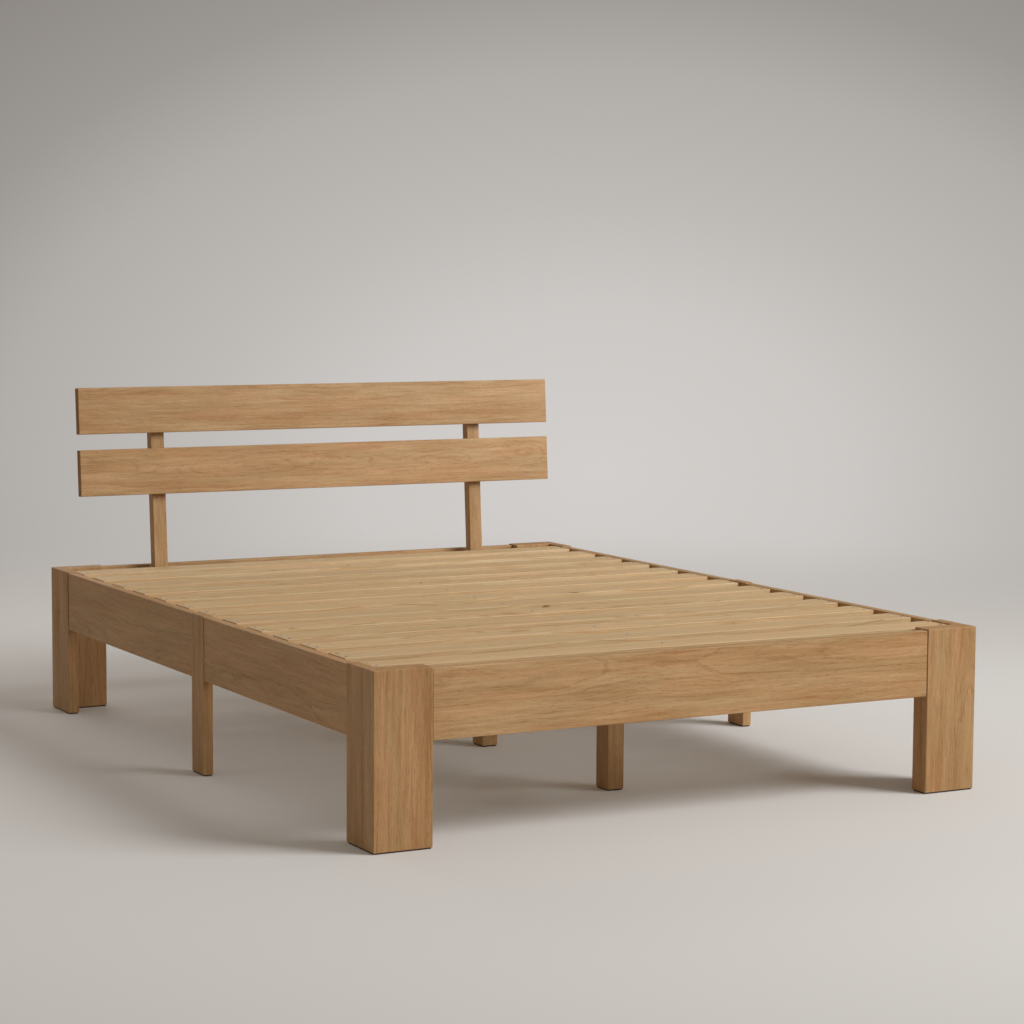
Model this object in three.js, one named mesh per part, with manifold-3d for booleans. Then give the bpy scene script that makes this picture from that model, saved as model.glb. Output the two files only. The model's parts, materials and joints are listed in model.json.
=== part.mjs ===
// A double bed frame in solid oak: four L-shaped corner legs, rails between them, a leg halfway
// along each side rail, a centre beam on three legs, slats, and a headboard of two planks that
// lean back on two posts.
//
// Units are millimetres. The origin is on the floor under the middle of the frame, +X points to
// the right as seen from the foot end, +Y towards the headboard and +Z up.

import * as THREE from 'three';
import { RoundedBoxGeometry } from 'three/addons/geometries/RoundedBoxGeometry.js';
import { mergeVertices } from 'three/addons/utils/BufferGeometryUtils.js';
import Module from 'manifold-3d';

// ---------------------------------------------------------------- driving dimensions

const FRAME_WIDTH = 1590;
const FRAME_LENGTH = 2100;
const LEG_TOP = 395;
const PAD_THICKNESS = 3;
const EASE = 2; // radius on the edges of the oak boards
const JOINT_GAP = 0.4; // left between a board's end and the face that it meets

const CORNER_WIDTH = 141; // along X
const CORNER_DEPTH = 138; // along Y
const CORNER_END_BOARD = 54; // thickness of the board that faces the foot or head end
const CORNER_SIDE_BOARD = 30; // thickness of the board that faces the side

const RAIL_HEIGHT = 157;
const RAIL_THICKNESS = 24;
const RAIL_SETBACK = 2; // of a rail's outer face behind the leg's
const RAIL_DROP = 3; // of a rail's top edge below the leg's

const MIDDLE_LEG_WIDTH = 76; // along Y
const MIDDLE_LEG_Y = -46;
const MIDDLE_LEG_DROP = 1; // of its top below a corner leg's

const SLAT_COUNT = 13;
const SLAT_WIDTH = 90;
const SLAT_THICKNESS = 18;
const SLAT_END_CLEARANCE = 2; // between a slat's end and the corner leg
const FIRST_SLAT_EDGE = -990;
const LAST_SLAT_EDGE = 955;
const LEDGER_WIDTH = 32;
const LEDGER_HEIGHT = 40;

const BEAM_THICKNESS = 30;
const BEAM_HEIGHT = 80;
const CENTRE_LEG_WIDTH = 44; // along X
const CENTRE_LEG_DEPTH = 57; // along Y
const CENTRE_LEG_FACE = -3; // where the beam and the centre legs meet, along X
const CENTRE_LEGS = { foot: -651, middle: -9, head: 633 };

const STEEL = 3; // thickness of the brackets, hangers and plates
const SCREW_HEAD_RADIUS = 5.5;
const SCREW_HEAD_HEIGHT = 2.6;
const SCREW_HEAD_SIDES = 14;

const HEADBOARD_WIDTH = 1476;
const HEADBOARD_BOTTOM = 597;
const HEADBOARD_FRONT = 956; // front of the lower plank's bottom edge, along Y
const HEADBOARD_LEAN = THREE.MathUtils.degToRad(4.2);
const PLANK_HEIGHT = 129;
const PLANK_THICKNESS = 25;
const PLANK_GAP = 43;
const PLANK_EASE = 2.5;
const POST_WIDTH = 40;
const POST_DEPTH = 30;
const POST_X = 500;
const POST_BELOW_PLANKS = 353; // how far a post reaches below the lower plank
const POST_BELOW_TOP = 20; // how far it stops short of the upper plank's top edge
const FIT_GAP = 0.3; // kept between pieces that lean together, or are cut to fit one another

// ---------------------------------------------------------------- derived dimensions

const HALF_WIDTH = FRAME_WIDTH / 2;
const HALF_LENGTH = FRAME_LENGTH / 2;
const RAIL_TOP = LEG_TOP - RAIL_DROP;
const RAIL_BOTTOM = RAIL_TOP - RAIL_HEIGHT;
const RAIL_OUTER_X = HALF_WIDTH - RAIL_SETBACK;
const RAIL_INNER_X = RAIL_OUTER_X - RAIL_THICKNESS;
const RAIL_OUTER_Y = HALF_LENGTH - RAIL_SETBACK;
const RAIL_INNER_Y = RAIL_OUTER_Y - RAIL_THICKNESS;
const CORNER_INNER_X = HALF_WIDTH - CORNER_SIDE_BOARD;
const CORNER_INNER_Y = HALF_LENGTH - CORNER_END_BOARD;
const CORNER_EDGE_X = HALF_WIDTH - CORNER_WIDTH;
const CORNER_EDGE_Y = HALF_LENGTH - CORNER_DEPTH;
const MIDDLE_LEG_FOOT_EDGE = MIDDLE_LEG_Y - MIDDLE_LEG_WIDTH / 2;
const MIDDLE_LEG_HEAD_EDGE = MIDDLE_LEG_Y + MIDDLE_LEG_WIDTH / 2;
const LEDGER_TOP = RAIL_TOP - SLAT_THICKNESS;
const LEDGER_INNER_X = RAIL_INNER_X - LEDGER_WIDTH;
const BEAM_TOP = LEDGER_TOP;
const BEAM_LEFT = CENTRE_LEG_FACE - BEAM_THICKNESS;

const SIDES = { left: -1, right: 1 };
const ENDS = { foot: -1, head: 1 };

// ---------------------------------------------------------------- materials

const oak = () => new THREE.MeshStandardMaterial({ color: 0xb28c5f, roughness: 0.55, metalness: 0 });
const pine = () => new THREE.MeshStandardMaterial({ color: 0xcdb285, roughness: 0.7, metalness: 0 });
const steel = () => new THREE.MeshStandardMaterial({ color: 0xb9bbbd, roughness: 0.4, metalness: 1 });
const felt = () => new THREE.MeshStandardMaterial({ color: 0x3a332c, roughness: 1, metalness: 0 });

// ---------------------------------------------------------------- solids

const wasm = await Module();
wasm.setup();

function toSolid(geometry) {
  const bare = geometry.index ? geometry.toNonIndexed() : geometry.clone();
  bare.deleteAttribute('normal');
  bare.deleteAttribute('uv');
  const merged = mergeVertices(bare, 1e-3);
  const mesh = new wasm.Mesh({
    numProp: 3,
    vertProperties: merged.attributes.position.array,
    triVerts: new Uint32Array(merged.index.array),
  });
  return new wasm.Manifold(mesh);
}

function toGeometry(solid) {
  const mesh = solid.getMesh();
  const geometry = new THREE.BufferGeometry();
  geometry.setAttribute('position', new THREE.BufferAttribute(mesh.vertProperties, 3));
  geometry.setIndex(new THREE.BufferAttribute(mesh.triVerts, 1));
  geometry.computeVertexNormals();
  return geometry;
}

function join(geometries) {
  return toGeometry(geometries.map(toSolid).reduce((whole, next) => whole.add(next)));
}

// An interval on one axis, given by its distances from the middle plane on the side of sign.
function span(sign, near, far) {
  return [Math.min(sign * near, sign * far), Math.max(sign * near, sign * far)];
}

const lengthOf = ([low, high]) => high - low;
const middleOf = ([low, high]) => (low + high) / 2;

function placed(name, geometry, material, x = 0, y = 0, z = 0) {
  const mesh = new THREE.Mesh(geometry, material);
  mesh.name = name;
  mesh.position.set(x, y, z);
  return mesh;
}

// A straight board between three intervals, with its edges rounded over.
function board(name, x, y, z, material = oak(), ease = EASE) {
  const geometry = new RoundedBoxGeometry(lengthOf(x), lengthOf(y), lengthOf(z), 1, ease);
  return placed(name, geometry, material, middleOf(x), middleOf(y), middleOf(z));
}

// A plain box between three intervals, for steel that is joined into one fitting.
function block(x, y, z) {
  const geometry = new THREE.BoxGeometry(lengthOf(x), lengthOf(y), lengthOf(z));
  return geometry.translate(middleOf(x), middleOf(y), middleOf(z));
}

// A pan-head screw's head, standing on the plane through seat, with its top towards direction.
function screwHead(seat, direction) {
  const sunk = 0.5; // below the plate's face, so that the head joins the plate
  const profile = [
    new THREE.Vector2(0, -sunk),
    new THREE.Vector2(SCREW_HEAD_RADIUS, -sunk),
    new THREE.Vector2(SCREW_HEAD_RADIUS, SCREW_HEAD_HEIGHT * 0.4),
    new THREE.Vector2(SCREW_HEAD_RADIUS * 0.7, SCREW_HEAD_HEIGHT * 0.9),
    new THREE.Vector2(0, SCREW_HEAD_HEIGHT),
  ];
  const geometry = new THREE.LatheGeometry(profile, SCREW_HEAD_SIDES);
  const turn = new THREE.Quaternion().setFromUnitVectors(new THREE.Vector3(0, 1, 0), direction);
  return geometry.applyQuaternion(turn).translate(seat.x, seat.y, seat.z);
}

// ---------------------------------------------------------------- corner legs and rails

function cornerLeg(end, side) {
  const sx = SIDES[side];
  const sy = ENDS[end];
  const z = [PAD_THICKNESS, LEG_TOP];
  const endBoardY = span(sy, CORNER_INNER_Y, HALF_LENGTH);
  const sideBoardY = span(sy, CORNER_EDGE_Y, CORNER_INNER_Y - JOINT_GAP);
  return [
    board(`corner_leg_end_board_${end}_${side}`, span(sx, CORNER_EDGE_X, HALF_WIDTH), endBoardY, z),
    board(`corner_leg_side_board_${end}_${side}`, span(sx, CORNER_INNER_X, HALF_WIDTH), sideBoardY, z),
  ];
}

function endRail(end) {
  const reach = CORNER_EDGE_X - JOINT_GAP;
  const y = span(ENDS[end], RAIL_INNER_Y, RAIL_OUTER_Y);
  return board(`${end}_rail`, [-reach, reach], y, [RAIL_BOTTOM, RAIL_TOP]);
}

function sideRailHalfY(end) {
  const reach = CORNER_EDGE_Y - JOINT_GAP;
  return end === 'foot'
    ? [-reach, MIDDLE_LEG_FOOT_EDGE - JOINT_GAP]
    : [MIDDLE_LEG_HEAD_EDGE + JOINT_GAP, reach];
}

function sideRailHalf(end, side) {
  const x = span(SIDES[side], RAIL_INNER_X, RAIL_OUTER_X);
  return board(`side_rail_${side}_${end}_half`, x, sideRailHalfY(end), [RAIL_BOTTOM, RAIL_TOP]);
}

function middleLeg(side) {
  const x = span(SIDES[side], RAIL_INNER_X, HALF_WIDTH);
  const y = [MIDDLE_LEG_FOOT_EDGE, MIDDLE_LEG_HEAD_EDGE];
  return board(`middle_leg_${side}`, x, y, [PAD_THICKNESS, LEG_TOP - MIDDLE_LEG_DROP]);
}

// ---------------------------------------------------------------- slat base

// A ledger runs on past the end of its rail, over the corner leg's side board, where it is
// rebated by as much as that board stands in from the rail.
function ledger(end, side) {
  const sx = SIDES[side];
  const sy = ENDS[end];
  const endClearance = 2;
  const middleReach = end === 'foot' ? -MIDDLE_LEG_FOOT_EDGE : MIDDLE_LEG_HEAD_EDGE;
  const middleClearance = 8;
  const length = span(sy, middleReach + middleClearance, CORNER_INNER_Y - endClearance);
  const whole = new RoundedBoxGeometry(LEDGER_WIDTH, lengthOf(length), LEDGER_HEIGHT, 1, EASE);
  const cutFace = CORNER_INNER_X - FIT_GAP - (LEDGER_INNER_X + LEDGER_WIDTH / 2);
  const cutStart = CORNER_EDGE_Y - JOINT_GAP - Math.abs(middleOf(length));
  const rebateY = span(sy, cutStart, lengthOf(length));
  const rebate = block(span(sx, cutFace, LEDGER_WIDTH), rebateY, [-LEDGER_HEIGHT, LEDGER_HEIGHT]);
  const geometry = toGeometry(toSolid(whole).subtract(toSolid(rebate)));
  const x = middleOf(span(sx, LEDGER_INNER_X, RAIL_INNER_X));
  const z = LEDGER_TOP - LEDGER_HEIGHT / 2;
  return placed(`slat_ledger_${side}_${end}_half`, geometry, pine(), x, middleOf(length), z);
}

function slat(index) {
  const pitch = (LAST_SLAT_EDGE - FIRST_SLAT_EDGE - SLAT_WIDTH) / (SLAT_COUNT - 1);
  const start = FIRST_SLAT_EDGE + index * pitch;
  const reach = CORNER_INNER_X - SLAT_END_CLEARANCE;
  const number = String(index + 1).padStart(2, '0');
  const y = [start, start + SLAT_WIDTH];
  return board(`slat_${number}`, [-reach, reach], y, [LEDGER_TOP, RAIL_TOP], pine());
}

function centreBeam() {
  const reach = RAIL_INNER_Y - STEEL - JOINT_GAP;
  const z = [BEAM_TOP - BEAM_HEIGHT, BEAM_TOP];
  return board('centre_beam', [BEAM_LEFT, CENTRE_LEG_FACE], [-reach, reach], z, pine());
}

function centreLeg(place) {
  const y = CENTRE_LEGS[place];
  const x = [CENTRE_LEG_FACE, CENTRE_LEG_FACE + CENTRE_LEG_WIDTH];
  const depth = [y - CENTRE_LEG_DEPTH / 2, y + CENTRE_LEG_DEPTH / 2];
  return board(`centre_leg_${place}`, x, depth, [PAD_THICKNESS, BEAM_TOP]);
}

// A steel shoe under each end of the centre beam, screwed to the foot or head rail.
function beamHanger(end) {
  const sy = ENDS[end];
  const seatDepth = 42;
  const flange = 32; // of the back plate, on each side of the beam
  const inner = [BEAM_LEFT - JOINT_GAP, CENTRE_LEG_FACE + JOINT_GAP];
  const outer = [inner[0] - STEEL, inner[1] + STEEL];
  const bottom = BEAM_TOP - BEAM_HEIGHT - JOINT_GAP;
  const top = BEAM_TOP - 6;
  const plate = span(sy, RAIL_INNER_Y, RAIL_INNER_Y - STEEL);
  const arms = span(sy, RAIL_INNER_Y - STEEL / 2, RAIL_INNER_Y - seatDepth);
  const face = sy * (RAIL_INNER_Y - STEEL);
  const away = new THREE.Vector3(0, -sy, 0);
  const parts = [
    block([outer[0] - flange, outer[1] + flange], plate, [bottom - STEEL, top]),
    block(outer, arms, [bottom - STEEL, bottom]),
    block([outer[0], inner[0]], arms, [bottom - STEEL, top]),
    block([inner[1], outer[1]], arms, [bottom - STEEL, top]),
  ];
  for (const x of [outer[0] - flange / 2, outer[1] + flange / 2]) {
    for (const z of [bottom + 16, top - 16]) {
      parts.push(screwHead(new THREE.Vector3(x, face, z), away));
    }
  }
  return placed(`beam_hanger_${end}`, join(parts), steel());
}

// ---------------------------------------------------------------- steel fittings

// A steel angle in the step between a corner leg's end board and the foot or head rail.
function cornerBracket(end, side) {
  const sx = SIDES[side];
  const sy = ENDS[end];
  const height = [RAIL_BOTTOM + 20, RAIL_TOP - 32];
  const railFlangeX = span(sx, CORNER_EDGE_X, CORNER_EDGE_X - 64);
  const railFlangeY = span(sy, RAIL_INNER_Y, RAIL_INNER_Y - STEEL);
  const legFlangeX = span(sx, CORNER_EDGE_X, CORNER_EDGE_X - STEEL);
  const legFlangeY = span(sy, RAIL_INNER_Y, CORNER_INNER_Y + 2);
  const parts = [block(railFlangeX, railFlangeY, height), block(legFlangeX, legFlangeY, height)];
  const railFace = sy * (RAIL_INNER_Y - STEEL);
  const legFace = sx * (CORNER_EDGE_X - STEEL);
  for (const z of [height[0] + 18, height[1] - 18]) {
    for (const reach of [24, 48]) {
      const seat = new THREE.Vector3(sx * (CORNER_EDGE_X - reach), railFace, z);
      parts.push(screwHead(seat, new THREE.Vector3(0, -sy, 0)));
    }
    const towardsMiddle = Math.sign(middleOf(height) - z) * 22;
    const legSeat = new THREE.Vector3(legFace, sy * (CORNER_INNER_Y + 12), z + towardsMiddle);
    parts.push(screwHead(legSeat, new THREE.Vector3(-sx, 0, 0)));
  }
  return placed(`corner_bracket_${end}_${side}`, join(parts), steel());
}

// A flat steel strap behind a middle leg, across the joint of the two side rail halves.
function splicePlate(side) {
  const sx = SIDES[side];
  const reach = 78; // beyond the middle leg on each side
  const height = [RAIL_BOTTOM + 18, LEDGER_TOP - LEDGER_HEIGHT - 12];
  const y = [MIDDLE_LEG_FOOT_EDGE - reach, MIDDLE_LEG_HEAD_EDGE + reach];
  const parts = [block(span(sx, RAIL_INNER_X, RAIL_INNER_X - STEEL), y, height)];
  const rows = [height[0] + 15, height[1] - 15];
  const columns = [y[0] + 20, y[0] + 58, MIDDLE_LEG_Y, y[1] - 58, y[1] - 20];
  for (const screwY of columns) {
    for (const screwZ of rows) {
      const seat = new THREE.Vector3(sx * (RAIL_INNER_X - STEEL), screwY, screwZ);
      parts.push(screwHead(seat, new THREE.Vector3(-sx, 0, 0)));
    }
  }
  return placed(`splice_plate_${side}`, join(parts), steel());
}

// ---------------------------------------------------------------- felt pads

const PAD_INSET = 3; // of a pad's edge inside the foot of its leg

function padOutline(points) {
  const shape = new THREE.Shape(points.map(([x, y]) => new THREE.Vector2(x, y)));
  return new THREE.ExtrudeGeometry(shape, { depth: PAD_THICKNESS, bevelEnabled: false });
}

function cornerPad(end, side) {
  const sx = SIDES[side];
  const sy = ENDS[end];
  const outline = [
    [HALF_WIDTH - PAD_INSET, HALF_LENGTH - PAD_INSET],
    [CORNER_EDGE_X + PAD_INSET, HALF_LENGTH - PAD_INSET],
    [CORNER_EDGE_X + PAD_INSET, CORNER_INNER_Y + PAD_INSET],
    [CORNER_INNER_X + PAD_INSET, CORNER_INNER_Y + PAD_INSET],
    [CORNER_INNER_X + PAD_INSET, CORNER_EDGE_Y + PAD_INSET],
    [HALF_WIDTH - PAD_INSET, CORNER_EDGE_Y + PAD_INSET],
  ];
  const geometry = padOutline(outline.map(([x, y]) => [sx * x, sy * y]));
  return placed(`felt_pad_${end}_${side}`, geometry, felt());
}

function legPad(name, x, y, width, depth) {
  const halfWidth = width / 2 - PAD_INSET;
  const halfDepth = depth / 2 - PAD_INSET;
  const corners = [
    [-halfWidth, -halfDepth],
    [halfWidth, -halfDepth],
    [halfWidth, halfDepth],
    [-halfWidth, halfDepth],
  ];
  return placed(name, padOutline(corners), felt(), x, y, 0);
}

function middlePad(side) {
  const thickness = HALF_WIDTH - RAIL_INNER_X;
  const x = SIDES[side] * (HALF_WIDTH - thickness / 2);
  return legPad(`felt_pad_middle_${side}`, x, MIDDLE_LEG_Y, thickness, MIDDLE_LEG_WIDTH);
}

function centrePad(place) {
  const x = CENTRE_LEG_FACE + CENTRE_LEG_WIDTH / 2;
  return legPad(`felt_pad_centre_${place}`, x, CENTRE_LEGS[place], CENTRE_LEG_WIDTH, CENTRE_LEG_DEPTH);
}

// ---------------------------------------------------------------- headboard

// The planks and posts stand in a group that leans back about the lower plank's bottom front
// edge. Inside it, y runs back from the planks' front face and z runs up along it.
function headboard() {
  const group = new THREE.Group();
  group.position.set(0, HEADBOARD_FRONT, HEADBOARD_BOTTOM);
  group.rotation.x = -HEADBOARD_LEAN;
  const halfWidth = HEADBOARD_WIDTH / 2;
  const upperBottom = PLANK_HEIGHT + PLANK_GAP;
  const upperTop = upperBottom + PLANK_HEIGHT;
  const planks = { lower: [0, PLANK_HEIGHT], upper: [upperBottom, upperTop] };
  for (const [level, z] of Object.entries(planks)) {
    const name = `headboard_plank_${level}`;
    group.add(board(name, [-halfWidth, halfWidth], [0, PLANK_THICKNESS], z, oak(), PLANK_EASE));
  }
  const front = PLANK_THICKNESS + FIT_GAP;
  for (const [side, sx] of Object.entries(SIDES)) {
    const x = [sx * POST_X - POST_WIDTH / 2, sx * POST_X + POST_WIDTH / 2];
    const z = [-POST_BELOW_PLANKS, upperTop - POST_BELOW_TOP];
    group.add(board(`headboard_post_${side}`, x, [front, front + POST_DEPTH], z));
  }
  return group;
}

// A spacer that fills the wedge between the back of a leaning post and the upright head rail.
function wedge(side) {
  const depthToBack = PLANK_THICKNESS + FIT_GAP + POST_DEPTH + FIT_GAP;
  const backOfPost = (z) => {
    const rise = (z - HEADBOARD_BOTTOM) * Math.tan(HEADBOARD_LEAN);
    return HEADBOARD_FRONT + depthToBack / Math.cos(HEADBOARD_LEAN) + rise;
  };
  const bottom = RAIL_BOTTOM + 16;
  const top = RAIL_TOP - 4;
  const outline = new THREE.Shape([
    new THREE.Vector2(backOfPost(bottom), bottom),
    new THREE.Vector2(RAIL_INNER_Y, bottom),
    new THREE.Vector2(RAIL_INNER_Y, top),
    new THREE.Vector2(backOfPost(top), top),
  ]);
  const geometry = new THREE.ExtrudeGeometry(outline, { depth: POST_WIDTH, bevelEnabled: false });
  const mesh = placed(`headboard_wedge_${side}`, geometry, oak(), SIDES[side] * POST_X - POST_WIDTH / 2);
  mesh.quaternion.set(0.5, 0.5, 0.5, 0.5); // the outline's x and y become Y and Z, its depth X
  return mesh;
}

// ---------------------------------------------------------------- the bed frame

const bedFrame = new THREE.Group();
bedFrame.name = 'bed_frame';

for (const end of Object.keys(ENDS)) {
  bedFrame.add(endRail(end), beamHanger(end));
  for (const side of Object.keys(SIDES)) {
    bedFrame.add(...cornerLeg(end, side), cornerBracket(end, side), cornerPad(end, side));
    bedFrame.add(sideRailHalf(end, side), ledger(end, side));
  }
}

for (const side of Object.keys(SIDES)) {
  bedFrame.add(middleLeg(side), middlePad(side), splicePlate(side), wedge(side));
}

bedFrame.add(centreBeam());
for (const place of Object.keys(CENTRE_LEGS)) {
  bedFrame.add(centreLeg(place), centrePad(place));
}

for (let index = 0; index < SLAT_COUNT; index += 1) {
  bedFrame.add(slat(index));
}

bedFrame.add(headboard());

export default bedFrame;
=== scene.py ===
import json
import math
import random

import bmesh
import bpy
from mathutils import Matrix, Vector


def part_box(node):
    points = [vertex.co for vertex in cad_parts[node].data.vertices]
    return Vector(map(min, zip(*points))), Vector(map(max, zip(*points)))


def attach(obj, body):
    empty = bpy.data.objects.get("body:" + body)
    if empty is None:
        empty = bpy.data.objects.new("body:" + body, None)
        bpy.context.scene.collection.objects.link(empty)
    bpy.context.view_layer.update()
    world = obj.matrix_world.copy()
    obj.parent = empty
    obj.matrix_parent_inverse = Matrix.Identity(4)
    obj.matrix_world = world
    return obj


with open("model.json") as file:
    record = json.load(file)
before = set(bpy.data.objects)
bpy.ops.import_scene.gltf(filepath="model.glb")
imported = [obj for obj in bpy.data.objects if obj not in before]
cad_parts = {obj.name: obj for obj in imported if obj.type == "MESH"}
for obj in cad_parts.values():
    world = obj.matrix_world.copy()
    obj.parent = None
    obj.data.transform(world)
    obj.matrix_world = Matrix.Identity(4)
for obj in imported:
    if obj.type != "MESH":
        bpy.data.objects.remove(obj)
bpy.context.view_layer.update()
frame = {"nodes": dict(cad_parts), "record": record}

nodes = frame["nodes"]


def box(node):
    """A CAD node's lowest and highest corners."""
    low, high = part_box(node)
    return Vector(low), Vector(high)


# ---------------------------------------------------------------- camera

CAMERA_PLACE = Vector((-3.208, -6.140, 1.273))
CAMERA_YAW = math.radians(28.31)  # from +Y towards +X
CAMERA_PITCH = math.radians(5.47)  # below the horizon
CAMERA_ROLL = math.radians(0.35)
CAMERA_LENS = 94.75
SENSOR_WIDTH = 36


def add_camera():
    data = bpy.data.cameras.new("camera")
    data.sensor_width = SENSOR_WIDTH
    data.lens = CAMERA_LENS
    camera = bpy.data.objects.new("camera", data)
    turn = (
        Matrix.Rotation(-CAMERA_YAW, 4, "Z")
        @ Matrix.Rotation(math.radians(90) - CAMERA_PITCH, 4, "X")
        @ Matrix.Rotation(CAMERA_ROLL, 4, "Z")
    )
    camera.matrix_world = Matrix.Translation(CAMERA_PLACE) @ turn
    bpy.context.scene.collection.objects.link(camera)
    bpy.context.scene.camera = camera


# ---------------------------------------------------------------- node helpers

class Graph:
    """A short way to write shader nodes. An input is a number, a colour or another node's output."""

    def __init__(self, tree):
        self.tree = tree

    def add(self, kind, inputs=None, **settings):
        node = self.tree.nodes.new(kind)
        for name, value in settings.items():
            setattr(node, name, value)
        for name, value in (inputs or {}).items():
            self.feed(node.inputs[name], value)
        return node

    def feed(self, socket, value):
        if isinstance(value, bpy.types.NodeSocket):
            self.tree.links.new(value, socket)
        else:
            socket.default_value = value

    def math(self, operation, a, b=0.0, c=0.0, clamp=False):
        node = self.add("ShaderNodeMath", {0: a, 1: b, 2: c}, operation=operation, use_clamp=clamp)
        return node.outputs[0]

    def mix(self, factor, a, b, blend="MIX"):
        node = self.add("ShaderNodeMix", data_type="RGBA", blend_type=blend)
        self.feed(node.inputs[0], factor)
        for socket, colour in ((node.inputs[6], a), (node.inputs[7], b)):
            self.feed(socket, (*colour, 1) if isinstance(colour, (tuple, list)) else colour)
        return node.outputs[2]

    def combine(self, x, y, z):
        return self.add("ShaderNodeCombineXYZ", {0: x, 1: y, 2: z}).outputs[0]

    def separate(self, vector):
        return self.add("ShaderNodeSeparateXYZ", {0: vector}).outputs

    def length(self, vector):
        node = self.add("ShaderNodeVectorMath", {0: vector}, operation="LENGTH")
        return node.outputs["Value"]

    def dot(self, vector, axis):
        node = self.add("ShaderNodeVectorMath", {0: vector, 1: axis}, operation="DOT_PRODUCT")
        return node.outputs["Value"]

    def stretched(self, axes, scale, offset=(0, 0, 0)):
        """The vector of three coordinates, each times its own scale, plus an offset."""
        parts = [self.math("MULTIPLY_ADD", a, s, o) for a, s, o in zip(axes, scale, offset)]
        return self.combine(*parts)

    def noise(self, vector, scale=1.0, detail=2.0, roughness=0.5):
        inputs = {"Vector": vector, "Scale": scale, "Detail": detail, "Roughness": roughness}
        return self.add("ShaderNodeTexNoise", inputs).outputs[0]

    def line_noise(self, value, detail=2.0):
        inputs = {"W": value, "Scale": 1.0, "Detail": detail}
        return self.add("ShaderNodeTexNoise", inputs, noise_dimensions="1D").outputs[0]

    def swing(self, noise, width, middle):
        """The noise moved from about its 0.5 to middle, and made width times as wide."""
        return self.math("MULTIPLY_ADD", self.math("SUBTRACT", noise, 0.5), width, middle)

    def ramp(self, factor, stops):
        node = self.add("ShaderNodeValToRGB", {0: factor})
        elements = node.color_ramp.elements
        while len(elements) < len(stops):
            elements.new(1.0)
        for element, (position, colour) in zip(elements, stops):
            element.position = position
            element.color = (*colour, 1.0)
        return node.outputs[0]

    def step(self, value, low, high):
        """0 below low, 1 above high, smooth between; the other way round if low is above high."""
        swap = low > high
        node = self.add(
            "ShaderNodeMapRange",
            {"Value": value, "From Min": min(low, high), "From Max": max(low, high)},
            interpolation_type="SMOOTHSTEP",
        )
        node.inputs["To Min"].default_value = 1.0 if swap else 0.0
        node.inputs["To Max"].default_value = 0.0 if swap else 1.0
        return node.outputs[0]

    def bump(self, height, strength, distance):
        inputs = {"Strength": strength, "Distance": distance, "Height": height}
        return self.add("ShaderNodeBump", inputs).outputs[0]


def new_material(name):
    """A material with a bare Principled shader: the material, its graph, the shader and the output."""
    material = bpy.data.materials.new(name)
    material.use_nodes = True
    g = Graph(material.node_tree)
    material.node_tree.nodes.clear()
    shader = g.add("ShaderNodeBsdfPrincipled")
    output = g.add("ShaderNodeOutputMaterial", {"Surface": shader.outputs[0]})
    return material, g, shader, output


# ---------------------------------------------------------------- wood

# Lengths are in metres. A knot's reach is its radius in the stretched coordinates that place the
# knots, and its core is as dark as it gets within core times the reach.
OAK = {
    "dark": (0.245, 0.100, 0.014),
    "light": (0.572, 0.378, 0.196),
    "pore": (0.170, 0.080, 0.028),
    "knot": (0.150, 0.068, 0.024),
    "ring_width": 0.0036,
    "ring_strength": 0.09,
    "grain_strength": 0.46,
    "pore_strength": 0.50,
    "knot_reach": 0.030,
    "knot_core": 0.40,
    "knot_strength": 0.60,
}
# The side rails are sawn from quieter wood.
CALM_OAK = {**OAK, "ring_strength": 0.08, "grain_strength": 0.33, "pore_strength": 0.40}
PINE = {
    "dark": (0.480, 0.300, 0.135),
    "light": (0.700, 0.530, 0.320),
    "pore": (0.420, 0.260, 0.130),
    "knot": (0.190, 0.080, 0.028),
    "ring_width": 0.0042,
    "ring_strength": 0.60,
    "grain_strength": 0.30,
    "pore_strength": 0.12,
    "knot_reach": 0.050,
    "knot_core": 0.72,
    "knot_strength": 0.78,
}

WARM = (1.026, 0.984, 0.977)  # the hue of one board wanders a little between these two
COOL = (0.974, 1.014, 1.021)
BOARD_TONE = (1.00, 0.99, 1.01)
LEG_TONE = (0.94, 0.895, 0.870)  # the upright boards are a little darker and warmer

# Scales are in cycles a metre along, across and through the board. Edges are the two values of a
# noise between which something sets in.
KNOT_SCALE = (2.6, 6.0, 6.0)
KNOT_PARTING = 0.75  # how far the grain gives way to a knot
KNOT_PARTING_EDGES = (0.20, 0.01)
KNOT_HALO = 4  # reaches wide
KNOT_HALO_STRENGTH = 0.40
PITH_ANGLE = (0.2, 0.9)  # of the way to the pith from the board's broad face, in radians
PITH_DISTANCE = (0.08, 0.16)
SWAY_SCALE = (2.2, 6, 6)
SWAY = 0.045  # of the rings along a board, in metres
RIPPLE_SCALE = (11, 26, 26)
RIPPLE = 0.0075
RING_UNEVENNESS = 1.6  # in rings
RING_RISE = (0.0, 0.12)  # the early wood sets in and ends between these parts of a ring
RING_FALL = (0.62, 0.16)
RING_EDGES = (0.25, 0.70)
DASH_SCALE = (15, 250, 250)
DASH_EDGES = (0.60, 0.74)
DASH_STRENGTH = 0.30
FIBRE_SCALE = (55, 1500, 1500)
PORE_EDGES = (0.60, 0.68)
HUE_SCALE = (3.6, 30, 30)
HUE_EDGES = (0.35, 0.65)
MIDDLE_TONE = 0.60  # between the dark and the light colour
END_GRAIN_EDGES = (0.80, 0.97)
WORN_EDGE = (0.0030, 0.0008)  # metres from a board's edge
WEAR_EDGES = (0.42, 0.62)
WEAR_STRENGTH = 0.25
WOOD_SPECULAR = 0.20
WOOD_BUMP = 0.0004  # metres

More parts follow.
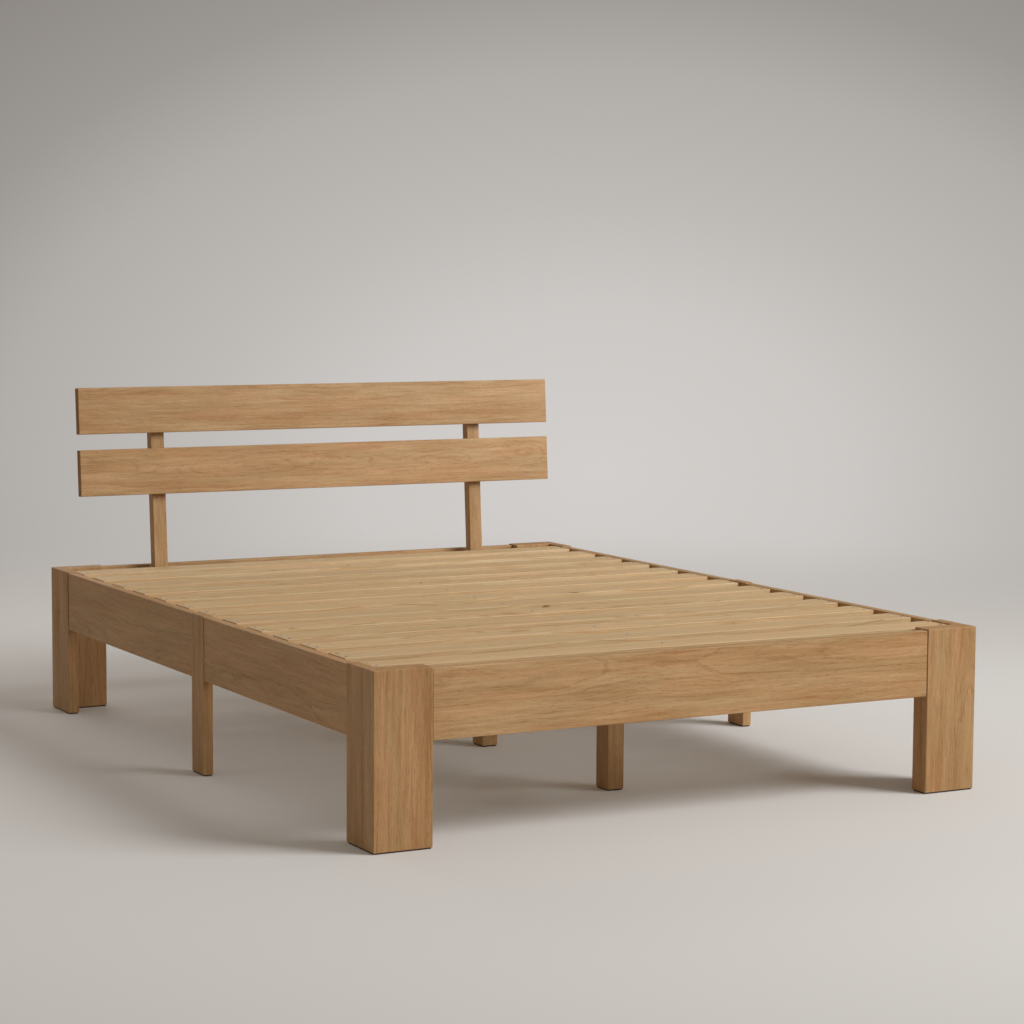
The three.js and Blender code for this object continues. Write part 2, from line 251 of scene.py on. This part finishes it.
# The grain at falling sizes: its scale, detail, roughness and weight in the tone.
GRAIN = {
    "patches": ((2.4, 17, 17), 2, 0.50, 1.15),
    "bands": ((4.2, 48, 48), 1, 0.50, 0.80),
    "streaks": ((5.5, 125, 125), 2, 0.60, 1.40),
    "flecks": ((19, 380, 380), 2, 0.55, 0.80),
}


class Board:
    """A node's own axes in its material: 0 along its longest side, 1 across it, 2 through it."""

    def __init__(self, g, node):
        low, high = box(node)
        middle, size = (low + high) / 2, high - low
        order = sorted(range(3), key=lambda axis: -size[axis])
        coordinates = g.add("ShaderNodeTexCoord").outputs
        place = g.separate(coordinates["Object"])
        self.place = [g.math("SUBTRACT", place[axis], middle[axis]) for axis in order]
        self.half = [size[axis] / 2 for axis in order]
        self.end_facing = g.math("ABSOLUTE", g.separate(coordinates["Normal"])[order[0]])


def part_round_knots(g, board, shift):
    """The distance to the nearest knot, and the board's axes bent round it as the grain is."""
    field = g.add(
        "ShaderNodeTexVoronoi",
        {"Vector": g.stretched(board.place, KNOT_SCALE, shift), "Scale": 1.0},
    )
    distance = field.outputs["Distance"]
    centre = g.separate(field.outputs["Position"])
    pull = g.math("MULTIPLY", g.step(distance, *KNOT_PARTING_EDGES), -KNOT_PARTING)
    flow = [board.place[0]]
    for axis in (1, 2):
        middle = g.math("DIVIDE", g.math("SUBTRACT", centre[axis], shift[axis]), KNOT_SCALE[axis])
        away = g.math("SUBTRACT", board.place[axis], middle)
        flow.append(g.math("MULTIPLY_ADD", away, pull, board.place[axis]))
    return distance, flow


def early_wood(g, board, flow, kind, dice, shift):
    """1 in the porous early wood of an annual ring and 0 between. The rings are unevenly wide and
    strong, and lie round a pith outside the board, so that faces, edges and ends belong together."""
    angle = dice.uniform(*PITH_ANGLE) * dice.choice((-1, 1))
    distance = dice.uniform(*PITH_DISTANCE)
    across = g.math("SUBTRACT", flow[1], math.sin(angle) * distance)
    through = g.math("SUBTRACT", flow[2], -math.cos(angle) * distance)
    sway = g.noise(g.stretched(board.place, SWAY_SCALE, shift), detail=1)
    radius = g.swing(sway, SWAY, g.length(g.combine(0.0, across, through)))
    count = g.math("MULTIPLY_ADD", radius, 1 / kind["ring_width"], shift[0])
    uneven = g.line_noise(g.math("MULTIPLY", count, 0.45), detail=1)
    count = g.math("MULTIPLY_ADD", uneven, RING_UNEVENNESS, count)
    part = g.math("FRACT", count)
    early = g.math("MULTIPLY", g.step(part, *RING_RISE), g.step(part, *RING_FALL))
    strength = g.line_noise(g.math("MULTIPLY", g.math("FLOOR", count), 0.71), detail=0)
    return g.math("MULTIPLY", early, g.step(strength, *RING_EDGES))


def edge_distance(g, board):
    """How far the point is from the nearest edge: the second smallest distance to a side."""
    gaps = [
        g.math("SUBTRACT", half, g.math("ABSOLUTE", place))
        for half, place in zip(board.half, board.place)
    ]
    least = g.math("MINIMUM", g.math("MINIMUM", gaps[0], gaps[1]), gaps[2])
    most = g.math("MAXIMUM", g.math("MAXIMUM", gaps[0], gaps[1]), gaps[2])
    total = g.math("ADD", g.math("ADD", gaps[0], gaps[1]), gaps[2])
    return g.math("SUBTRACT", total, g.math("ADD", least, most))


def wood(name, node, kind, dice, tone, end_darkening):
    """The wood of one board, with the grain along its longest side."""
    material, g, shader, _ = new_material(name)
    board = Board(g, node)
    shift = [dice.uniform(-40, 40) for _ in range(3)]
    turned = shift[::-1]

    knot_distance, flow = part_round_knots(g, board, shift)
    ripple = g.noise(g.stretched(board.place, RIPPLE_SCALE, shift), detail=2)
    flow = [flow[0], g.swing(ripple, RIPPLE, flow[1]), g.swing(ripple, RIPPLE, flow[2])]
    early = early_wood(g, board, flow, kind, dice, shift)

    tone_value = MIDDLE_TONE
    layers = {}
    for index, (layer, (scale, detail, roughness, weight)) in enumerate(GRAIN.items()):
        offset = turned if index % 2 else shift
        layers[layer] = g.noise(g.stretched(flow, scale, offset), 1.0, detail, roughness)
        tone_value = g.swing(layers[layer], weight * kind["grain_strength"], tone_value)
    dashes = g.step(g.noise(g.stretched(flow, DASH_SCALE, turned), detail=1), *DASH_EDGES)
    dash_depth = -DASH_STRENGTH * kind["grain_strength"]
    tone_value = g.math("MULTIPLY_ADD", dashes, dash_depth, tone_value)
    tone_value = g.math("MULTIPLY_ADD", early, -kind["ring_strength"], tone_value, clamp=True)
    colour = g.mix(tone_value, kind["dark"], kind["light"])
    warmth = g.noise(g.stretched(flow, HUE_SCALE, turned), detail=3)
    hue = g.mix(g.step(warmth, *HUE_EDGES), COOL, WARM)
    colour = g.mix(1.0, colour, hue, blend="MULTIPLY")

    # Open pores: fine dark dashes, dense in the early wood.
    fibres = g.noise(g.stretched(flow, FIBRE_SCALE, shift), detail=2)
    pores = g.step(g.math("MULTIPLY_ADD", early, 0.10, fibres), *PORE_EDGES)
    colour = g.mix(g.math("MULTIPLY", pores, kind["pore_strength"]), colour, kind["pore"])

    # Knots, each with a darker halo.
    reach = kind["knot_reach"]
    halo = g.step(knot_distance, reach * KNOT_HALO, reach)
    core = g.step(knot_distance, reach, reach * kind["knot_core"])
    colour = g.mix(g.math("MULTIPLY", halo, KNOT_HALO_STRENGTH), colour, kind["dark"])
    colour = g.mix(g.math("MULTIPLY", core, kind["knot_strength"]), colour, kind["knot"])

    # Sawn end grain drinks more oil and is darker; on the boards the ends are darkened further, as
    # painted shade. The rounded edges are a little worn.
    end_grain = g.step(board.end_facing, *END_GRAIN_EDGES)
    colour = g.mix(g.math("MULTIPLY", end_grain, end_darkening), colour, kind["dark"])
    near_edge = g.step(edge_distance(g, board), *WORN_EDGE)
    worn = g.math("MULTIPLY", near_edge, g.step(layers["patches"], *WEAR_EDGES))
    colour = g.mix(g.math("MULTIPLY", worn, WEAR_STRENGTH), colour, kind["light"])
    colour = g.mix(1.0, colour, tone, blend="MULTIPLY")
    g.feed(shader.inputs["Base Color"], colour)

    shader.inputs["Specular IOR Level"].default_value = WOOD_SPECULAR
    rough = g.math("MULTIPLY_ADD", layers["streaks"], 0.14, 0.43)
    g.feed(shader.inputs["Roughness"], g.math("MULTIPLY_ADD", pores, 0.20, rough))
    height = g.math("MULTIPLY_ADD", pores, -1.0, g.math("MULTIPLY", layers["flecks"], 0.6))
    g.feed(shader.inputs["Normal"], g.bump(height, 0.30, WOOD_BUMP))
    return material


# ---------------------------------------------------------------- steel and felt

def zinc():
    material, g, shader, _ = new_material("zinc_plate")
    place = g.add("ShaderNodeTexCoord").outputs["Object"]
    cloud = g.noise(place, scale=60, detail=3)
    grain = g.noise(place, scale=900, detail=2)
    colour = g.ramp(cloud, [(0.35, (0.46, 0.46, 0.45)), (0.65, (0.66, 0.66, 0.64))])
    g.feed(shader.inputs["Base Color"], colour)
    shader.inputs["Metallic"].default_value = 1.0
    g.feed(shader.inputs["Roughness"], g.math("MULTIPLY_ADD", cloud, 0.25, 0.30))
    g.feed(shader.inputs["Normal"], g.bump(grain, 0.15, 0.0002))
    return material


def pressed_felt():
    material, g, shader, _ = new_material("pressed_felt")
    place = g.add("ShaderNodeTexCoord").outputs["Object"]
    lint = g.noise(place, scale=1400, detail=4, roughness=0.7)
    colour = g.ramp(lint, [(0.35, (0.020, 0.016, 0.012)), (0.70, (0.075, 0.062, 0.050))])
    g.feed(shader.inputs["Base Color"], colour)
    shader.inputs["Roughness"].default_value = 0.95
    g.feed(shader.inputs["Normal"], g.bump(lint, 0.8, 0.0006))
    return material


# ---------------------------------------------------------------- carried-over boards and fittings

EASING = 0.0006  # how far a board's edges are rounded
EASED_ANGLE = math.radians(30)  # the least angle of an edge that is rounded
LEG_END_DARKENING = 0.05  # a leg's top is planed and oiled like its sides
# On the boards' ends this darkening is end grain and painted shade together.
BOARD_END_GRAIN_AND_SHADE = 0.75
PINE_END_DARKENING = 0.30


def soften(piece):
    """Rounds the eased edges and shades them smoothly, and keeps the large faces flat."""
    weld = piece.modifiers.new("weld", "WELD")
    weld.merge_threshold = 1e-5
    bevel = piece.modifiers.new("bevel", "BEVEL")
    bevel.limit_method = "ANGLE"
    bevel.angle_limit = EASED_ANGLE
    bevel.width = EASING
    bevel.segments = 2
    piece.modifiers.new("normals", "WEIGHTED_NORMAL")
    piece.data.shade_smooth()


def dress(piece, material):
    piece.data.materials.clear()
    piece.data.materials.append(material)


def dress_oak(piece, lightness, dice):
    leg = "leg" in piece.name
    tone = [lightness * value for value in (LEG_TONE if leg else BOARD_TONE)]
    kind = CALM_OAK if piece.name.startswith("side_rail") else OAK
    end_darkening = LEG_END_DARKENING if leg else BOARD_END_GRAIN_AND_SHADE
    dress(piece, wood(f"oak_{piece.name}", piece.name, kind, dice, tone, end_darkening))
    soften(piece)


def dress_pine(piece, lightness, dice):
    tone = [lightness] * 3
    dress(piece, wood(f"pine_{piece.name}", piece.name, PINE, dice, tone, PINE_END_DARKENING))
    soften(piece)


def dress_frame():
    dice = random.Random(7)
    for part in frame["record"]["subparts"]:
        piece, slot = nodes[part["node"]], part["material_slot"]
        lightness = dice.uniform(0.96, 1.04)
        if slot == "oak":
            dress_oak(piece, lightness, dice)
        elif slot == "base_wood":
            dress_pine(piece, lightness, dice)
        else:
            dress(piece, STEEL if slot == "steel" else FELT)


# ---------------------------------------------------------------- screws and bolts

SIDES = 36  # round a screw head, so that six lobes and six flats both divide it
LOBE_DEPTH = 0.16  # as a part of the recess's radius
SHARP_ANGLE = math.radians(35)


def circle(radius):
    return lambda turn: radius


def hexagon(flat):
    """The outline of a hexagon whose flats are this far from the middle."""
    sixth = math.radians(60)
    return lambda turn: flat / math.cos(turn % sixth - sixth / 2)


def six_lobes(radius):
    return lambda turn: radius * (1 + LOBE_DEPTH * math.cos(6 * turn))


# Each fastener is a stack of outlines at their heights, from the face that it lies on to the
# bottom of its recess or the end of its thread.
WAFER_SCREW = [
    (circle(0.0046), -0.0002), (circle(0.0046), 0.0005), (circle(0.0041), 0.0010),
    (circle(0.0028), 0.0013), (six_lobes(0.0018), 0.0013), (six_lobes(0.0016), 0.0003),
]
PAN_SCREW = [
    (circle(0.0042), -0.0002), (circle(0.0042), 0.0012), (circle(0.0036), 0.0023),
    (circle(0.0026), 0.0028), (six_lobes(0.0017), 0.0028), (six_lobes(0.0015), 0.0008),
]
CONNECTOR_BOLT = [
    (circle(0.0085), -0.0002), (circle(0.0085), 0.0012), (circle(0.0080), 0.0020),
    (circle(0.0062), 0.0024), (hexagon(0.0026), 0.0024), (hexagon(0.0025), 0.0003),
]
HEXAGON_BOLT = [
    (circle(0.0095), -0.0002), (circle(0.0095), 0.0013), (circle(0.0092), 0.0016),
    (hexagon(0.0064), 0.0016), (hexagon(0.0065), 0.0021), (hexagon(0.0065), 0.0056),
    (circle(0.0063), 0.0063),
]
NUT_ON_WASHER = [
    (circle(0.0095), -0.0002), (circle(0.0095), 0.0013), (circle(0.0092), 0.0016),
    (hexagon(0.0064), 0.0016), (hexagon(0.0065), 0.0021), (hexagon(0.0065), 0.0070),
    (circle(0.0061), 0.0079), (circle(0.0034), 0.0079), (circle(0.0030), 0.0081),
    (circle(0.0030), 0.0115), (circle(0.0024), 0.0121),
]


def add_fastener(mesh, shape, turn):
    """Stacks the shape's outlines in the mesh, placed and turned by the matrix."""
    rings = []
    for outline, height in shape:
        ring = []
        for side in range(SIDES):
            angle = math.tau * side / SIDES
            radius = outline(angle)
            point = Vector((radius * math.cos(angle), radius * math.sin(angle), height))
            ring.append(mesh.verts.new(turn @ point))
        rings.append(ring)
    mesh.faces.new(reversed(rings[0]))
    mesh.faces.new(rings[-1])
    for lower, upper in zip(rings, rings[1:]):
        for side in range(SIDES):
            after = (side + 1) % SIDES
            mesh.faces.new((lower[side], lower[after], upper[after], upper[side]))


def fasteners(name, shape, places, direction):
    """One piece holding the same fastener at each place, standing on its face along direction."""
    mesh = bmesh.new()
    aim = Vector(direction).to_track_quat("Z", "Y").to_matrix().to_4x4()
    dice = random.Random(name)
    for place in places:
        spin = Matrix.Rotation(dice.uniform(0, math.tau), 4, "Z")
        add_fastener(mesh, shape, Matrix.Translation(place) @ aim @ spin)
    data = bpy.data.meshes.new(name)
    mesh.to_mesh(data)
    mesh.free()
    piece = bpy.data.objects.new(name, data)
    bpy.context.scene.collection.objects.link(piece)
    dress(piece, STEEL)
    data.shade_smooth()
    data.set_sharp_from_angle(angle=SHARP_ANGLE)
    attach(piece, "root")


SLAT_SCREW_INSET = 0.013  # from the ledger's inner face
SLAT_SCREW_OFFSET = 0.024  # from the slat's middle


def screw_slats():
    """Two screws at each end of a slat, into the ledgers, and one into the centre beam."""
    beam_low, beam_high = box("centre_beam")
    beam_middle = (beam_low.x + beam_high.x) / 2
    left = box("slat_ledger_left_foot_half")[1].x - SLAT_SCREW_INSET
    right = box("slat_ledger_right_foot_half")[0].x + SLAT_SCREW_INSET
    ends, middles = [], []
    for slat in sorted(name for name in nodes if name.startswith("slat_") and name[5:].isdigit()):
        low, high = box(slat)
        centre = (low.y + high.y) / 2
        for x in (left, right):
            for y in (centre - SLAT_SCREW_OFFSET, centre + SLAT_SCREW_OFFSET):
                ends.append((x, y, high.z))
        middles.append((beam_middle, centre, high.z))
    fasteners("slat_end_screws", WAFER_SCREW, ends, (0, 0, 1))
    fasteners("slat_middle_screws", WAFER_SCREW, middles, (0, 0, 1))


LEDGER_SCREWS = 5  # in each half of a ledger
LEDGER_SCREW_MARGIN = 0.05
LEDGER_SCREW_RISE = (-0.006, 0.004)  # the row zigzags about the ledger's middle


def screw_ledgers():
    """A row of screws through each ledger into the side rail that carries it."""
    for side, inward in (("left", 1), ("right", -1)):
        places = []
        for half in ("foot_half", "head_half"):
            low, high = box(f"slat_ledger_{side}_{half}")
            face = high.x if inward > 0 else low.x
            run = high.y - low.y - 2 * LEDGER_SCREW_MARGIN
            for index in range(LEDGER_SCREWS):
                y = low.y + LEDGER_SCREW_MARGIN + run * index / (LEDGER_SCREWS - 1)
                z = (low.z + high.z) / 2 + LEDGER_SCREW_RISE[index % 2]
                places.append((face, y, z))
        fasteners(f"ledger_screws_{side}", PAN_SCREW, places, (inward, 0, 0))


CENTRE_BOLT_MARGIN = 0.020  # from the beam's lower and upper edges
CENTRE_BOLT_SLIDE = 0.010  # from the leg's middle


def bolt_centre_legs():
    """Two bolts through the beam and the top of each centre leg, with nuts on the leg's side."""
    beam_low, beam_high = box("centre_beam")
    heads, nuts = [], []
    for leg in ("centre_leg_foot", "centre_leg_middle", "centre_leg_head"):
        low, high = box(leg)
        middle = (low.y + high.y) / 2
        lower = (middle - CENTRE_BOLT_SLIDE, beam_low.z + CENTRE_BOLT_MARGIN)
        upper = (middle + CENTRE_BOLT_SLIDE, beam_high.z - CENTRE_BOLT_MARGIN)
        for y, z in (lower, upper):
            heads.append((beam_low.x, y, z))
            nuts.append((high.x, y, z))
    fasteners("centre_leg_bolts", HEXAGON_BOLT, heads, (-1, 0, 0))
    fasteners("centre_leg_nuts", NUT_ON_WASHER, nuts, (1, 0, 0))


HEADBOARD_LEAN = math.radians(4.2)
POST_DEPTH = 0.030
HEADBOARD_BOLT_RISE = 0.045  # above the head rail's lower edge
HEADBOARD_BOLT_DROP = 0.040  # below its upper edge
PLANK_SCREW_PLACES = (0.26, 0.74)  # as parts of a plank's height


def bolt_headboard():
    """Connector bolts from behind the head rail into each headboard post."""
    rail_low, rail_high = box("head_rail")
    places = []
    for side in ("left", "right"):
        low, high = box(f"headboard_post_{side}")
        for z in (rail_low.z + HEADBOARD_BOLT_RISE, rail_high.z - HEADBOARD_BOLT_DROP):
            places.append(((low.x + high.x) / 2, rail_high.y, z))
    fasteners("headboard_bolts", CONNECTOR_BOLT, places, (0, 1, 0))


def screw_planks():
    """Screws from the leaning back of each headboard post into the planks."""
    places = []
    for side in ("left", "right"):
        low, high = box(f"headboard_post_{side}")
        back_top = high.z - POST_DEPTH * math.sin(HEADBOARD_LEAN)
        for plank in ("headboard_plank_lower", "headboard_plank_upper"):
            plank_low, plank_high = box(plank)
            for part in PLANK_SCREW_PLACES:
                z = plank_low.z + part * (plank_high.z - plank_low.z)
                y = high.y - (back_top - z) * math.tan(HEADBOARD_LEAN)
                places.append(((low.x + high.x) / 2, y, z))
    lean = (0, math.cos(HEADBOARD_LEAN), -math.sin(HEADBOARD_LEAN))
    fasteners("headboard_screws", PAN_SCREW, places, lean)


# ---------------------------------------------------------------- floor and light

FLOOR_RADIUS = 14
FLOOR_COLOUR = (0.695, 0.693, 0.692, 1)
FLOOR_FADE = (1.9, 5.6)  # it fades into the backdrop between these distances from the bed


def add_floor():
    bpy.ops.mesh.primitive_circle_add(vertices=96, radius=FLOOR_RADIUS, fill_type="NGON")
    floor = bpy.context.object
    floor.name = "floor"
    material, g, shader, output = new_material("floor")
    shader.inputs["Base Color"].default_value = FLOOR_COLOUR
    shader.inputs["Roughness"].default_value = 0.75
    place = g.add("ShaderNodeTexCoord").outputs["Object"]
    clear = g.add("ShaderNodeBsdfTransparent")
    faded = g.step(g.length(place), *FLOOR_FADE)
    fade = g.add("ShaderNodeMixShader", {0: faded, 1: shader.outputs[0], 2: clear.outputs[0]})
    g.feed(output.inputs["Surface"], fade.outputs[0])
    dress(floor, material)


BACKDROP_MIDDLE = Vector((0.50, 0.86, -0.08)).normalized()  # its brightest direction
BACKDROP_SIDE = Vector((0.86, -0.50, 0.0)).normalized()
BACKDROP_FLATNESS = 1.5  # it darkens this much sooner upwards than sideways
# The backdrop's colours paint a pool of light, brightest in its middle direction and darker outwards,
# and only the camera sees them.
BACKDROP = [
    (0.00, (0.650, 0.625, 0.604)),
    (0.09, (0.605, 0.580, 0.559)),
    (0.15, (0.515, 0.491, 0.470)),
    (0.22, (0.440, 0.418, 0.398)),
    (0.27, (0.335, 0.314, 0.296)),
    (0.34, (0.265, 0.246, 0.228)),
    (0.80, (0.400, 0.380, 0.362)),
]
ROOM_LIGHT = [
    (0.45, (0.218, 0.199, 0.176)),
    (0.60, (0.337, 0.301, 0.261)),
]


def add_world():
    """An even soft light from all round, less from below, behind a backdrop with a painted pool of
    light that darkens outwards.
    """
    world = bpy.data.worlds.new("studio")
    bpy.context.scene.world = world
    world.use_nodes = True
    g = Graph(world.node_tree)
    world.node_tree.nodes.clear()
    direction = g.add("ShaderNodeTexCoord").outputs["Generated"]
    up = g.dot(direction, (0, 0, 1))
    rise = g.math("MULTIPLY", g.math("SUBTRACT", up, BACKDROP_MIDDLE.z), BACKDROP_FLATNESS)
    out = g.length(g.combine(g.dot(direction, BACKDROP_SIDE), rise, 0.0))
    seen = g.ramp(out, BACKDROP)
    light = g.ramp(g.math("MULTIPLY_ADD", up, 0.5, 0.5), ROOM_LIGHT)
    rays = g.add("ShaderNodeLightPath")
    colour = g.mix(rays.outputs["Is Camera Ray"], light, seen)
    background = g.add("ShaderNodeBackground", {"Color": colour, "Strength": 1.0})
    g.add("ShaderNodeOutputWorld", {"Surface": background.outputs[0]})


KEY_COLOUR = (0.975, 0.970, 0.955)
SIDE_COLOUR = (0.880, 1.000, 1.150)
BACK_COLOUR = (1.000, 0.920, 0.820)


def add_softbox(name, place, target, size, power, colour, spread=180):
    data = bpy.data.lights.new(name, "AREA")
    data.shape = "RECTANGLE"
    data.spread = math.radians(spread)
    data.size, data.size_y = size
    data.energy = power
    data.color = colour
    light = bpy.data.objects.new(name, data)
    light.location = place
    light.rotation_mode = "QUATERNION"
    light.rotation_quaternion = (Vector(target) - Vector(place)).to_track_quat("-Z", "Y")
    light.visible_camera = False
    bpy.context.scene.collection.objects.link(light)


def add_softboxes():
    """A large key from the front right, a glow on the headboard's right end, and a fill behind."""
    add_softbox("key", (5.1, -5.6, 5.7), (0, 0, 0.3), (4.0, 4.5), 700, KEY_COLOUR)
    add_softbox("side", (3.2, -1.3, 1.7), (0.75, 0.97, 0.75), (1.4, 1.4), 3.4, SIDE_COLOUR, 40)
    add_softbox("back", (-0.6, 5.6, 3.0), (0, 0.9, 0.4), (3.5, 2.0), 38, BACK_COLOUR)


# ---------------------------------------------------------------- the scene

bpy.context.scene.view_settings.view_transform = "Standard"
add_camera()
STEEL = zinc()
FELT = pressed_felt()
dress_frame()
screw_slats()
screw_ledgers()
bolt_centre_legs()
bolt_headboard()
screw_planks()
add_floor()
add_world()
add_softboxes()
